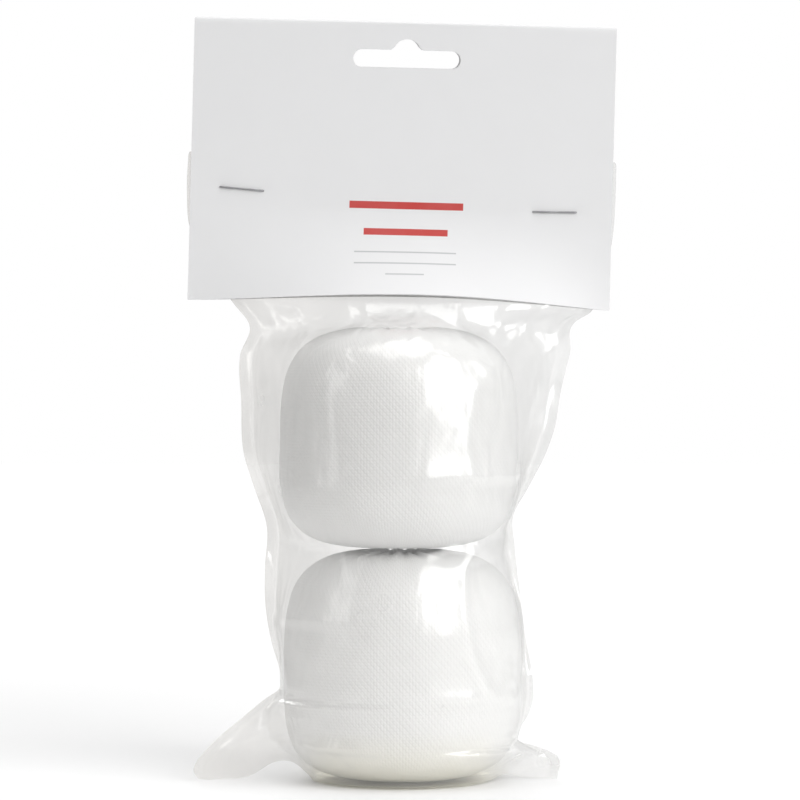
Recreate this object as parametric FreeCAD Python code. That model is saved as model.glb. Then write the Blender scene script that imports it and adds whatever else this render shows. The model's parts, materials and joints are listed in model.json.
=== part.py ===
import FreeCAD, Part
import math
import os

# Two knitted chalk balls in a clear film bag, closed by a folded header card and two wire staples.
# Millimetres. +X is to the right, -Y is the front, +Z is up. The bag stands on Z = 0, and the origin
# is below the middle of the header card.

Vector = FreeCAD.Vector
UP = Vector(0, 0, 1)
BACK = Vector(0, 1, 0)

# ---- chalk balls: a soft knitted cover round loose chalk, gathered and tied in a dimple on top
ball_diameter = 67.6
ball_height = 64.0
ball_squareness = 3.0  # exponent of the side profile, where 2 would be an ellipse
ball_gap = 0.4  # between the two balls
upper_ball_x = -1.0  # the upper ball has rolled a little to the left
cover_wall = 0.7
chalk_gap = 0.1
dimple_radius = 11.0  # at the ball's top
dimple_depth = 9.0
neck_radius = 2.6  # of the gathered knit inside the tie
tuft_radius = 5.0
tuft_sink = 1.6  # the tuft's end lies this far below the ball's top
thread_radius = 0.35
thread_turns = 3
thread_pitch = 0.6
thread_gap = 0.05
thread_room = 0.6  # round the tie, at the dimple's floor

# ---- film bag: two plies welded along both sides, with the bottom corners spread as flat ears
film_ply = 0.3
film_gap = 0.5  # between the film and the balls
side_slack = 0.6  # more of that gap beside the balls
base_half_width = 28.5
base_half_depth = 24.0
waist_half_depth = 27.0  # between the balls
waist_pinch = 1.5  # and what the bag narrows there
pinch_height = 10.0
shoulder_spread = 10.5  # what the bag widens above the waist, towards the card
rim_half_depth = 18.0
rim_above_ball = 1.0
close_stretch = 14.0  # below the rim, where the film curves in fast
bridge_sharpness = 12  # exponent that rounds the film's bridges between its supports
weld_width = 3.5
ear_left_out = 22.0  # how far each ear stands out from the bag's side
ear_left_height = 26.0
ear_left_tip_height = 8.0
ear_right_out = 9.5
ear_right_height = 12.0
ear_right_tip_height = 7.5
ear_overlap = 6.0  # how far an ear runs in beside the bag's wall

# ---- header card: one sheet folded over the bag's mouth, so it has a front and a back panel
card_width = 120.0
card_height = 80.5  # folded
card_thickness = 0.4
card_gap = 0.1  # between the card and the film it clamps
header_lean = 1.5  # degrees, clockwise seen from the front
flap_length = 26.7  # the lower stretch of each panel, which bows outwards over the bag
flap_bow = 11.6  # at the middle of its lower edge
flap_rise = 2.8  # of that edge, because the panel is bowed
flap_start_slope = 0.3  # share of the bow that is a straight slope

# ---- hang slot: a long slot with round ends and a round hump over its middle
slot_length = 30.5
slot_height = 5.2
slot_drop = 10.6  # from the fold to the slot's middle
slot_offset = 0.6
hump_width = 7.7
hump_rise = 3.1

# ---- bag mouth: the top of the same film, clamped between the panels
film_peek = 1.1  # what the film shows beside the card, on each side
mouth_height = 43.0  # above the neck

# ---- neck: the film between the card and the upper ball, which lets the header tilt
neck_clearance = 0.3  # each side of the tilt axis
card_above_neck = 0.8
neck_above_ball = 5.2
neck_x = -1.07

# ---- staples
staple_crown = 12.8
wire_radius = 0.28
clinch_length = 4.2
bend_radius = 0.5
staple_seat = 0.02
leg_hole_gap = 0.06
staple_left = (-45.4, 32.7, 3.8)  # across the card, above the neck, degrees clockwise
staple_right = (43.7, 28.4, -0.5)

# ---- sizes that follow from those above
ball_radius = ball_diameter / 2
lower_ball_z = film_ply + 0.3
upper_ball_z = lower_ball_z + ball_height + ball_gap
balls_top = upper_ball_z + ball_height
neck_z = balls_top + neck_above_ball
half_stack = film_ply + card_gap + card_thickness
flap_top = card_above_neck + flap_length
card_top = card_above_neck + card_height
mouth_width = card_width + 2 * film_peek
flap_half_span = mouth_width / 2


def profile_radius(height):
    """Radius of the ball's side at a height above its bottom."""
    level = abs(2 * height / ball_height - 1)
    return ball_radius * (1 - min(level, 1) ** ball_squareness) ** (1 / ball_squareness)


def spun_ball(radius, height, bottom):
    """A squarish ball about the Z axis, standing at the height `bottom`."""
    power = 2 / ball_squareness
    steps = 12
    points = []
    for step in range(steps + 1):
        angle = math.pi * step / steps
        rise = -math.cos(angle)
        level = math.copysign(abs(rise) ** power, rise)
        reach = radius * math.sin(angle) ** power if 0 < step < steps else 0.0
        points.append(Vector(reach, 0, bottom + height * (1 + level) / 2))
    side = Part.BSplineCurve()
    side.interpolate(points)
    axis = Part.LineSegment(points[-1], points[0])
    face = Part.Face(Part.Wire([side.toShape(), axis.toShape()]))
    return face.revolve(Vector(0, 0, 0), UP, 360)


def dimple(wall):
    """The dimple's space `wall` below the cover's face, from its floor up to a little above the ball."""
    over = 1.0
    depth = dimple_depth + wall
    floor_radius = neck_radius + thread_gap + 2 * thread_radius + thread_room + wall
    mouth_radius = dimple_radius + 1.4 * wall
    top_radius = mouth_radius + over * (mouth_radius - floor_radius) / depth
    return Part.makeCone(floor_radius, top_radius, depth + over, Vector(0, 0, ball_height - depth), UP)


def gathered_neck():
    """The knit drawn together through the tie, opening into a tuft above it."""
    floor = ball_height - dimple_depth
    tie_height = thread_pitch * (thread_turns - 1) + 2 * thread_radius
    tuft_foot = floor + tie_height
    tuft_end = ball_height - tuft_sink
    stem_foot = Vector(0, 0, floor - cover_wall)
    stem = Part.makeCylinder(neck_radius, tuft_foot - floor + cover_wall, stem_foot, UP)
    tuft = Part.makeCone(neck_radius, tuft_radius, tuft_end - tuft_foot, Vector(0, 0, tuft_foot), UP)
    return stem.fuse(tuft)


def ball_cover():
    outer = spun_ball(ball_radius, ball_height, 0).cut(dimple(0))
    inner = spun_ball(ball_radius - cover_wall, ball_height - 2 * cover_wall, cover_wall)
    return outer.cut(inner.cut(dimple(cover_wall))).fuse(gathered_neck()).removeSplitter()


def ball_chalk():
    wall = cover_wall + chalk_gap
    return spun_ball(ball_radius - wall, ball_height - 2 * wall, wall).cut(dimple(wall))


def ball_tie():
    """Turns of thread round the gathered knit, one on another."""
    ring = neck_radius + thread_gap + thread_radius
    floor = ball_height - dimple_depth
    turns = [
        Part.makeTorus(ring, thread_radius, Vector(0, 0, floor + thread_radius + thread_pitch * turn), UP)
        for turn in range(thread_turns)
    ]
    return turns[0].fuse(turns[1:])


def film_half_depth(z):
    """The film follows the balls, and bridges the base, the waist and the neck between them."""
    clear = film_gap + film_ply
    waist_z = upper_ball_z - ball_gap / 2
    if z < lower_ball_z + ball_height / 2:
        bridge = base_half_depth
    elif z < upper_ball_z + ball_height / 2:
        bridge = waist_half_depth
    else:
        bridge = rim_half_depth
    bottom = lower_ball_z if z < waist_z else upper_ball_z
    held = profile_radius(min(max(z - bottom, 0), ball_height))
    return (held**bridge_sharpness + bridge**bridge_sharpness) ** (1 / bridge_sharpness) + clear


def film_half_width(z):
    """Close beside the lower ball, a little pinched at the waist, and opening towards the card."""
    clear = film_gap + film_ply + side_slack
    waist_z = upper_ball_z - ball_gap / 2
    equator_z = lower_ball_z + ball_height / 2
    rim_z = balls_top + rim_above_ball
    full = ball_radius + clear
    share = min(max((z - waist_z) / (rim_z - waist_z), 0), 1)
    widening = shoulder_spread * share * share * (3 - 2 * share)
    pinch = waist_pinch * math.exp(-(((z - waist_z) / pinch_height) ** 2))
    narrowing = (full - base_half_width) * max(1 - z / equator_z, 0) ** 4
    return full + widening - pinch - narrowing


def bag_heights():
    """Heights of the bag's sections, closer together over the upper ball's top."""
    rim_z = balls_top + rim_above_ball
    close_z = rim_z - close_stretch
    steps = 22
    close_steps = 7
    heights = [close_z * step / steps for step in range(steps)]
    return heights + [close_z + close_stretch * step / close_steps for step in range(close_steps + 1)]


def bag_sections():
    """Height, middle, half width and half depth of the bag, from its base to its open rim."""
    waist_z = upper_ball_z - ball_gap / 2
    rows = []
    for z in bag_heights():
        share = min(max((z - waist_z) / (ball_height / 2) + 0.5, 0), 1)
        rows.append((z, upper_ball_x * share, film_half_width(z), film_half_depth(z)))
    return rows


def bag_loft(inset, base_lift, top_lift):
    """The bag's body, `inset` inside its outer face."""
    rings = []
    rows = bag_sections()
    for index, (z, x, width, depth) in enumerate(rows):
        z += base_lift if index == 0 else 0
        z += top_lift if index == len(rows) - 1 else 0
        ring = Part.Ellipse(Vector(x, 0, z), width - inset, depth - inset)
        rings.append(Part.Wire([ring.toShape()]))
    return Part.makeLoft(rings, True, True)


def flat_plate(outline):
    """A two-ply plate in the bag's middle plane from a closed outline of edges."""
    face = Part.Face(Part.Wire(outline))
    face.translate(-BACK * film_ply)
    return face.extrude(BACK * (2 * film_ply))


def spline(points):
    curve = Part.BSplineCurve()
    curve.interpolate([Vector(x, 0, z) for x, z in points])
    return curve.toShape()


def line(start, end):
    return Part.LineSegment(Vector(start[0], 0, start[1]), Vector(end[0], 0, end[1])).toShape()


def neck_line_z(x, above):
    """Height of a line `above` the tilt axis, which leans with the header."""
    return neck_z + above - (x - neck_x) * math.tan(math.radians(header_lean))


def side_welds():
    """The welded strips beside the bag's body, and the flare that leads them out to the card's width."""
    rows = bag_sections()[::4]
    left = [(x - width - weld_width, z) for z, x, width, depth in rows]
    right = [(x + width + weld_width, z) for z, x, width, depth in rows]
    corners = []
    for x in (neck_x - mouth_width / 2, neck_x + mouth_width / 2):
        corners.append((x, neck_line_z(x, -neck_clearance)))
    outline = [
        line(left[0], right[0]),
        spline(right),
        line(right[-1], corners[1]),
        line(corners[1], corners[0]),
        line(corners[0], left[-1]),
        spline(left),
    ]
    return flat_plate(outline)


def ear(side, out, height, tip_height):
    """A flattened bottom corner of the bag; side is -1 for the left and 1 for the right."""
    root = film_half_width(height / 2) + weld_width / 2
    reach = root + out
    inner = (side * (root - ear_overlap), 0)
    tip = (side * (reach - 0.08 * out), 0)
    top_root = (side * root, height)
    inner_top = (side * (root - ear_overlap), height)
    rounding = [
        tip,
        (side * reach, 0.35 * tip_height),
        (side * (reach - 0.12 * out), tip_height),
        (side * (root + 0.35 * out), tip_height + 0.45 * (height - tip_height)),
        top_root,
    ]
    return flat_plate(
        [line(inner, tip), spline(rounding), line(top_root, inner_top), line(inner_top, inner)]
    )


def bag_film():
    outer = bag_loft(0, 0, 0)
    # the cavity runs out through the rim, so the body is open at the neck
    cavity = bag_loft(film_ply, film_ply, 0.5)
    plates = side_welds().fuse(
        [
            ear(-1, ear_left_out, ear_left_height, ear_left_tip_height),
            ear(1, ear_right_out, ear_right_height, ear_right_tip_height),
        ]
    )
    return outer.fuse(plates).cut(cavity).removeSplitter()


def flap_face(inner, half_width, top, length, rise):
    """Front face of a bowed flap, `inner` in front of the middle plane where it starts."""
    columns = 8
    rows = 5
    grid = []
    for column in range(columns + 1):
        x = half_width * (2 * column / columns - 1)
        swell = math.cos(math.pi * x / (2 * flap_half_span))
        stations = []
        for row in range(rows + 1):
            down = row / rows
            bow = flap_bow * swell * (flap_start_slope * down + (1 - flap_start_slope) * down**2)
            stations.append(Vector(x, -inner - bow, top - down * (length - rise * swell)))
        grid.append(stations)
    surface = Part.BSplineSurface()
    surface.interpolate(grid)
    return surface.toShape()


def both_flaps(inner, thickness, half_width, length):
    front = flap_face(inner, half_width, flap_top, length, flap_rise).extrude(-BACK * thickness)
    back = front.mirror(Vector(0, 0, 0), BACK)
    return [front, back]


def lean(shape):
    """Puts a header piece from the card's own upright frame into place over the neck."""
    placed = shape.copy()
    placed.rotate(Vector(0, 0, 0), BACK, header_lean)
    placed.translate(Vector(neck_x, 0, neck_z))
    return placed


def slab(width, half_depth, bottom, top):
    return Part.makeBox(width, 2 * half_depth, top - bottom, Vector(-width / 2, -half_depth, bottom))


def folded_panels():
    """The flat upper stretch of both panels and the fold that joins them."""
    inner = half_stack - card_thickness
    fold_z = card_top - half_stack
    start = Vector(-card_width / 2, 0, fold_z)
    outside = slab(card_width, half_stack, flap_top, fold_z)
    outside = outside.fuse(Part.makeCylinder(half_stack, card_width, start, Vector(1, 0, 0)))
    inside = slab(card_width, inner, flap_top, fold_z)
    inside = inside.fuse(Part.makeCylinder(inner, card_width, start, Vector(1, 0, 0)))
    return outside.cut(inside)


def hang_slot_cutter():
    """The long slot and its hump, through both panels."""
    middle_z = card_top - slot_drop
    radius = slot_height / 2
    straight = slot_length / 2 - radius
    front = -2 * half_stack
    depth = 4 * half_stack
    band_corner = Vector(slot_offset - straight, front, middle_z - radius)
    band = Part.makeBox(2 * straight, depth, slot_height, band_corner)
    ends = [
        Part.makeCylinder(radius, depth, Vector(slot_offset + side * straight, front, middle_z), BACK)
        for side in (-1, 1)
    ]
    half = hump_width / 2
    rise = radius + hump_rise
    hump_radius = (half**2 + hump_rise**2) / (2 * hump_rise)
    hump_middle = Vector(slot_offset, front, middle_z + rise - hump_radius)
    hump = Part.makeCylinder(hump_radius, depth, hump_middle, BACK)
    return band.fuse(ends + [hump])


def leg_holes(place):
    """Holes that a staple's two legs make through the card and the film."""
    x, z, turn = place
    half = staple_crown / 2 - wire_radius
    front = -2 * half_stack
    pins = [
        Part.makeCylinder(wire_radius + leg_hole_gap, 4 * half_stack, Vector(side * half, front, 0), BACK)
        for side in (-1, 1)
    ]
    holes = pins[0].fuse(pins[1])
    holes.rotate(Vector(0, 0, 0), BACK, turn)
    holes.translate(Vector(x, 0, z))
    return holes


def header_card():
    card = folded_panels()
    card = card.fuse(both_flaps(half_stack - card_thickness, card_thickness, card_width / 2, flap_length))
    holes = [hang_slot_cutter(), leg_holes(staple_left), leg_holes(staple_right)]
    return lean(card.cut(holes).removeSplitter())


def bag_mouth():
    """The clamped film: two plies laid together, parting behind the flaps and welded at the sides."""
    plies = slab(mouth_width, film_ply, flap_top, mouth_height)
    length = flap_top - card_above_neck
    plies = plies.fuse(both_flaps(0, film_ply, mouth_width / 2, length))
    for side in (-1, 1):
        middle = side * (mouth_width - weld_width) / 2
        weld = slab(weld_width, film_ply, neck_clearance, flap_top)
        weld.translate(Vector(middle, 0, 0))
        plies = plies.fuse(weld)
    holes = [leg_holes(staple_left), leg_holes(staple_right)]
    return lean(plies.cut(holes).removeSplitter())


def rounded_path(points, radius):
    """Straight runs joined by arcs of one radius."""
    edges = []
    start = points[0]
    for before, corner, after in zip(points, points[1:], points[2:]):
        towards = (before - corner).normalize()
        onwards = (after - corner).normalize()
        half_angle = towards.getAngle(onwards) / 2
        setback = radius / math.tan(half_angle)
        middle = (towards + onwards).normalize()
        arc_start = corner + towards * setback
        arc_end = corner + onwards * setback
        arc_middle = corner + middle * (radius / math.sin(half_angle) - radius)
        edges.append(Part.LineSegment(start, arc_start).toShape())
        edges.append(Part.Arc(arc_start, arc_middle, arc_end).toShape())
        start = arc_end
    edges.append(Part.LineSegment(start, points[-1]).toShape())
    return Part.Wire(edges)


def staple(place):
    """Crown on the front, legs through the stack, and their ends clinched inwards on the back."""
    x, z, turn = place
    half = staple_crown / 2 - wire_radius
    face = half_stack + wire_radius + staple_seat
    points = [
        Vector(-half + clinch_length, face, 0),
        Vector(-half, face, 0),
        Vector(-half, -face, 0),
        Vector(half, -face, 0),
        Vector(half, face, 0),
        Vector(half - clinch_length, face, 0),
    ]
    path = rounded_path(points, bend_radius)
    section = Part.Wire([Part.Circle(points[0], Vector(-1, 0, 0), wire_radius).toShape()])
    wire = path.makePipeShell([section], True, False)
    wire.rotate(Vector(0, 0, 0), BACK, turn)
    wire.translate(Vector(x, 0, z))
    return lean(wire)


def placed_ball(shape, x, z):
    placed = shape.copy()
    placed.translate(Vector(x, 0, z))
    return placed


def build():
    os.makedirs("parts", exist_ok=True)
    nodes = {
        "bag_film": bag_film(),
        "bag_mouth": bag_mouth(),
        "header_card": header_card(),
        "staple_left": staple(staple_left),
        "staple_right": staple(staple_right),
    }
    pieces = {"cover": ball_cover(), "chalk": ball_chalk(), "tie": ball_tie()}
    for name, x, z in (("lower_ball", 0.0, lower_ball_z), ("upper_ball", upper_ball_x, upper_ball_z)):
        for piece, shape in pieces.items():
            nodes[name + "_" + piece] = placed_ball(shape, x, z)
    for name, shape in nodes.items():
        shape.exportStep("parts/" + name + ".step")
        print(name, len(shape.Solids), "solid, valid", shape.isValid(), "volume", round(shape.Volume, 1))


build()
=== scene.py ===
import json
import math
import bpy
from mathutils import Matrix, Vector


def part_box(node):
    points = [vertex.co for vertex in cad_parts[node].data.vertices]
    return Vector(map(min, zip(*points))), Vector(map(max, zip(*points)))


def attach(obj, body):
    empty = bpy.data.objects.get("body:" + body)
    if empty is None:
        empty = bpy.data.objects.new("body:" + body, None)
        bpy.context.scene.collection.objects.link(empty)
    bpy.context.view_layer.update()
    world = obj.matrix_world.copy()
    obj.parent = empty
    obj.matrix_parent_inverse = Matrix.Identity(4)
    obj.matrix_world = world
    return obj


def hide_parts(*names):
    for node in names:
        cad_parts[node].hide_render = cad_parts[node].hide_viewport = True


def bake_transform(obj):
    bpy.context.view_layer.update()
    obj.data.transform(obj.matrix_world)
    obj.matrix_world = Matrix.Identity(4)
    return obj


bl_info = {
    "name": "Chalk Ball Header Pack",
    "version": (1, 0, 0),
    "blender": (4, 5, 0),
    "location": "3D View > Sidebar > Chalk Pack",
    "description": "Two knitted chalk balls in a clear film bag with a stapled header card",
    "category": "Add Mesh",
}

import bmesh
import bpy
import numpy as np
from bpy.props import FloatProperty, FloatVectorProperty, IntProperty, PointerProperty
from mathutils import Vector

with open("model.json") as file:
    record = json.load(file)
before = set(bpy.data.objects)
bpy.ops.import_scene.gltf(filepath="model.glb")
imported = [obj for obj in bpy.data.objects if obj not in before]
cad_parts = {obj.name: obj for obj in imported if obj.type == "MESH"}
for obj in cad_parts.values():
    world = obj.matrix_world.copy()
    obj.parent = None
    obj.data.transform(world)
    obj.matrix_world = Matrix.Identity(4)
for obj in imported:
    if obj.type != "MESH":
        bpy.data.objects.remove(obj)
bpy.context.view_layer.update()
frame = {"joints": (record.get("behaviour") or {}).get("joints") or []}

MM = 0.001
TILT = next(joint for joint in frame["joints"] if joint["name"] == "header_tilt")
NECK = Vector(TILT["pos_m"])
LEAN = math.atan2(-TILT["axis"][2], TILT["axis"][0])
LOWER_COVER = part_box("lower_ball_cover")
UPPER_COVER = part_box("upper_ball_cover")
BALL_HEIGHT = 64 * MM
PRESSED = 1.2 * MM
# node, place across and above the neck in millimetres, turn in degrees
STAPLES = (("staple_left", -45.4, 32.7, 3.8), ("staple_right", 43.7, 28.4, -0.5))
# name, bottom, height, middle across: the upper ball's weight has moved their meeting place up a little
LOWER_BALL = (
    "lower_ball", LOWER_COVER[0].z, BALL_HEIGHT + PRESSED, (LOWER_COVER[0].x + LOWER_COVER[1].x) / 2,
)
UPPER_BALL = (
    "upper_ball", UPPER_COVER[0].z + PRESSED, BALL_HEIGHT - PRESSED,
    (UPPER_COVER[0].x + UPPER_COVER[1].x) / 2,
)


# ---------------------------------------------------------------- settings
class CardSettings(bpy.types.PropertyGroup):
    width: FloatProperty(name="Width", description="Across the card", default=0.120, unit="LENGTH")
    height: FloatProperty(
        name="Folded height", description="From the lower edge to the fold", default=0.0805, unit="LENGTH"
    )
    above_neck: FloatProperty(
        name="Above neck", description="Lower edge above the tilt axis", default=0.0008, unit="LENGTH"
    )
    thickness: FloatProperty(
        name="Board", description="Thickness of the board", default=0.0004, unit="LENGTH"
    )
    half_gap: FloatProperty(
        name="Half gap", description="From the middle plane to a panel's inner face", default=0.0003,
        unit="LENGTH",
    )
    flap: FloatProperty(
        name="Flap", description="Lower stretch of each panel that bows out", default=0.0267, unit="LENGTH"
    )
    bow: FloatProperty(
        name="Bow", description="How far the flap's edge bows out", default=0.0114, unit="LENGTH"
    )
    rise: FloatProperty(name="Rise", description="How far that edge rises", default=0.0028, unit="LENGTH")
    bow_peak: FloatProperty(
        name="Bow peak", description="Where across the card the bow is largest", default=0.007, unit="LENGTH"
    )
    board: FloatVectorProperty(
        name="Board", description="Colour of the coated board", subtype="COLOR", default=(0.79, 0.79, 0.795)
    )
    ink: FloatVectorProperty(
        name="Ink", description="Colour of the printed bars", subtype="COLOR", default=(0.53, 0.022, 0.015)
    )
    grey_ink: FloatVectorProperty(
        name="Grey ink", description="Colour of the thin rules", subtype="COLOR", default=(0.33, 0.34, 0.35)
    )


class BallSettings(bpy.types.PropertyGroup):
    radius: FloatProperty(name="Radius", description="Half the ball's width", default=0.0338, unit="LENGTH")
    top_squareness: FloatProperty(
        name="Top squareness", description="Exponent of the upper side", default=3.3
    )
    base_squareness: FloatProperty(
        name="Base squareness", description="Exponent of the lower side", default=3.9
    )
    pleats: IntProperty(name="Pleats", description="Folds gathered into the tie", default=23)
    wales: IntProperty(name="Wales", description="Columns of stitches round the ball", default=236)
    course: FloatProperty(
        name="Course", description="Height of one row of stitches", default=0.0009, unit="LENGTH"
    )
    knit: FloatVectorProperty(
        name="Knit", description="Colour of the cover", subtype="COLOR", default=(0.935, 0.935, 0.93)
    )


class FilmSettings(bpy.types.PropertyGroup):
    weld: FloatProperty(name="Weld", description="Width of a side weld", default=0.0033, unit="LENGTH")
    clearance: FloatProperty(
        name="Clearance", description="From the balls before it crinkles", default=0.0012, unit="LENGTH"
    )
    slack: FloatProperty(name="Slack", description="Share by which the film is loose", default=0.035)
    mouth: FloatProperty(name="Mouth", description="Film above the neck", default=0.043, unit="LENGTH")
    veil: FloatVectorProperty(
        name="Veil", description="Colour of the film's faint haze", subtype="COLOR", default=(
            0.90, 0.90, 0.89
        )
    )
    tint: FloatVectorProperty(
        name="Tint", description="Colour that one ply lets through", subtype="COLOR", default=(
            0.98, 0.98, 0.98
        )
    )


class StageSettings(bpy.types.PropertyGroup):
    lens: FloatProperty(name="Lens", description="Focal length in millimetres", default=150.0)
    distance: FloatProperty(name="Distance", description="Camera to object", default=0.949, unit="LENGTH")
    elevation: FloatProperty(
        name="Elevation", description="Camera above the horizon", default=math.radians(0.6), subtype="ANGLE"
    )
    aim_x: FloatProperty(
        name="Aim X", description="What the picture's middle shows", default=-0.0006, unit="LENGTH"
    )
    aim_z: FloatProperty(
        name="Aim Z", description="What the picture's middle shows", default=0.108, unit="LENGTH"
    )
    key: FloatProperty(
        name="Key lamp", description="Power of the large soft lamp", default=14.5, unit="POWER"
    )
    top: FloatProperty(name="Top lamp", description="Power of the lamp above", default=1.7, unit="POWER")
    fill: FloatProperty(name="Surroundings", description="Strength of the plain surroundings", default=0.50)
    back: FloatProperty(name="Back lamp", description="Power of the lamp behind", default=9.0, unit="POWER")


# ---------------------------------------------------------------- mesh helpers
def new_object(name, vertices, faces, smooth=True):
    mesh = bpy.data.meshes.new(name)
    mesh.from_pydata([tuple(map(float, v)) for v in vertices], [], faces)
    mesh.validate()
    if smooth:
        mesh.shade_smooth()
    else:
        mesh.shade_flat()
    thing = bpy.data.objects.new(name, mesh)
    bpy.context.scene.collection.objects.link(thing)
    return thing


def grid_faces(rows, columns, wrap=False, start=0, flip=False):
    """Quads of a grid of points numbered row by row from `start`."""
    faces = []
    spans = columns if wrap else columns - 1
    for row in range(rows - 1):
        for column in range(spans):
            after = (column + 1) % columns
            quad = [
                start + row * columns + column,
                start + row * columns + after,
                start + (row + 1) * columns + after,
                start + (row + 1) * columns + column,
            ]
            faces.append(quad[::-1] if flip else quad)
    return faces


def set_uv(thing, uv_of_vertex, wrap_u=False):
    """Gives each corner its vertex's UV; with wrap_u the last column's faces run on to u = 1."""
    layer = thing.data.uv_layers.new(name="UVMap")
    corners = np.zeros(len(thing.data.loops), int)
    thing.data.loops.foreach_get("vertex_index", corners)
    uv = np.array(uv_of_vertex, float)[corners]
    if wrap_u:
        for face in thing.data.polygons:
            span = slice(face.loop_start, face.loop_start + face.loop_total)
            if uv[span, 0].max() - uv[span, 0].min() > 0.5:
                part = uv[span, 0]
                part[part < 0.5] += 1.0
                uv[span, 0] = part
    layer.data.foreach_set("uv", uv.ravel())


def apply_modifiers(thing):
    """Bakes the object's modifiers into its mesh."""
    graph = bpy.context.evaluated_depsgraph_get()
    mesh = bpy.data.meshes.new_from_object(thing.evaluated_get(graph))
    thing.modifiers.clear()
    thing.data = mesh
    mesh.name = thing.name


def smoothstep(value, low, high):
    share = np.clip((np.asarray(value, float) - low) / (high - low), 0, 1)
    return share * share * (3 - 2 * share)


def ripple(points, scale, seed):
    """Smooth seeded noise of about -1 to 1 from a few crossed waves, for numpy points."""
    random = np.random.default_rng(seed)
    total = np.zeros(len(points))
    for _ in range(7):
        direction = random.normal(size=3)
        direction /= np.linalg.norm(direction)
        phase = random.uniform(0, math.tau)
        pitch = scale * random.uniform(0.7, 1.5)
        total += np.sin(points @ direction * math.tau / pitch + phase)
    return total / 3.2


def from_card_frame(x, y, z, share=1.0):
    """Turns a point of the upright card frame by the header's lean about the neck."""
    angle = LEAN * share
    return np.stack(
        [
            NECK.x + x * np.cos(angle) + z * np.sin(angle),
            y + 0 * x,
            NECK.z + z * np.cos(angle) - x * np.sin(angle),
        ],
        axis=-1,
    )


# ---------------------------------------------------------------- material helpers
def new_material(name):
    material = bpy.data.materials.new(name)
    material.use_nodes = True
    tree = material.node_tree
    return material, tree, tree.nodes["Principled BSDF"]


def add_node(tree, kind, **settings):
    node = tree.nodes.new(kind)
    for key, value in settings.items():
        if key in node.inputs:
            node.inputs[key].default_value = value
        else:
            setattr(node, key, value)
    return node


def math_node(tree, operation, first, second=None, clamp=False):
    node = tree.nodes.new("ShaderNodeMath")
    node.operation = operation
    node.use_clamp = clamp
    for socket, value in zip(node.inputs, (first, second)):
        if value is None:
            continue
        if isinstance(value, (int, float)):
            socket.default_value = value
        else:
            tree.links.new(value, socket)
    return node.outputs[0]


def plus(tree, first, second, clamp=False):
    return math_node(tree, "ADD", first, second, clamp)


def minus(tree, first, second, clamp=False):
    return math_node(tree, "SUBTRACT", first, second, clamp)


def times(tree, first, second, clamp=False):
    return math_node(tree, "MULTIPLY", first, second, clamp)


def mix_colour(tree, factor, first, second):
    node = tree.nodes.new("ShaderNodeMix")
    node.data_type = "RGBA"
    for socket, value in ((node.inputs[0], factor), (node.inputs[6], first), (node.inputs[7], second)):
        if isinstance(value, bpy.types.NodeSocket):
            tree.links.new(value, socket)
        else:
            socket.default_value = value if isinstance(value, (int, float)) else (*value, 1.0)
    return node.outputs[2]


def noise(tree, coordinate, scale, detail=3.0, roughness=0.5, distortion=0.0):
    node = add_node(
        tree, "ShaderNodeTexNoise", Scale=scale, Detail=detail, Roughness=roughness, Distortion=distortion
    )
    tree.links.new(coordinate, node.inputs["Vector"])
    return node.outputs["Fac"]


def bump(tree, height, strength, distance, before=None):
    node = add_node(tree, "ShaderNodeBump", Strength=strength, Distance=distance)
    tree.links.new(height, node.inputs["Height"])
    if before is not None:
        tree.links.new(before, node.inputs["Normal"])
    return node.outputs["Normal"]


# ---------------------------------------------------------------- chalk balls
def ball_profile(settings, height):
    """Radius and height of the cover from the bottom's middle up to its top, in metres."""
    points = []
    steps = 84
    for step in range(steps + 1):
        angle = math.pi * step / steps - math.pi / 2
        square = settings.base_squareness if angle < 0 else settings.top_squareness
        radius = settings.radius * math.cos(angle) ** (2 / square) if abs(angle) < math.pi / 2 - 1e-9 else 0.0
        level = math.copysign(abs(math.sin(angle)) ** (2 / square), angle)
        points.append((radius, height * (1 + level) / 2))
    return points


def cover_profile(settings, top):
    """The ball's side, the dimple, the gathered neck through the tie and the tuft above it."""
    side = [(r, z) for r, z in ball_profile(settings, top) if z < top / 2 or r > 10.5 * MM]
    dimple = [
        (9.4 * MM, top - 0.9 * MM), (8.2 * MM, top - 1.5 * MM), (7.2 * MM, top - 2.8 * MM),
        (6.0 * MM, top - 5.0 * MM), (4.8 * MM, top - 7.2 * MM), (3.7 * MM, top - 8.6 * MM),
        (2.75 * MM, top - 8.9 * MM), (2.55 * MM, top - 8.2 * MM), (2.55 * MM, top - 7.2 * MM),
        (2.9 * MM, top - 6.6 * MM), (3.6 * MM, top - 5.2 * MM), (4.3 * MM, top - 3.6 * MM),
        (4.9 * MM, top - 2.2 * MM), (4.7 * MM, top - 1.8 * MM), (3.6 * MM, top - 2.8 * MM),
        (2.0 * MM, top - 4.4 * MM), (0.5 * MM, top - 5.2 * MM),
    ]
    return np.array(side), np.array(dimple)


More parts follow.
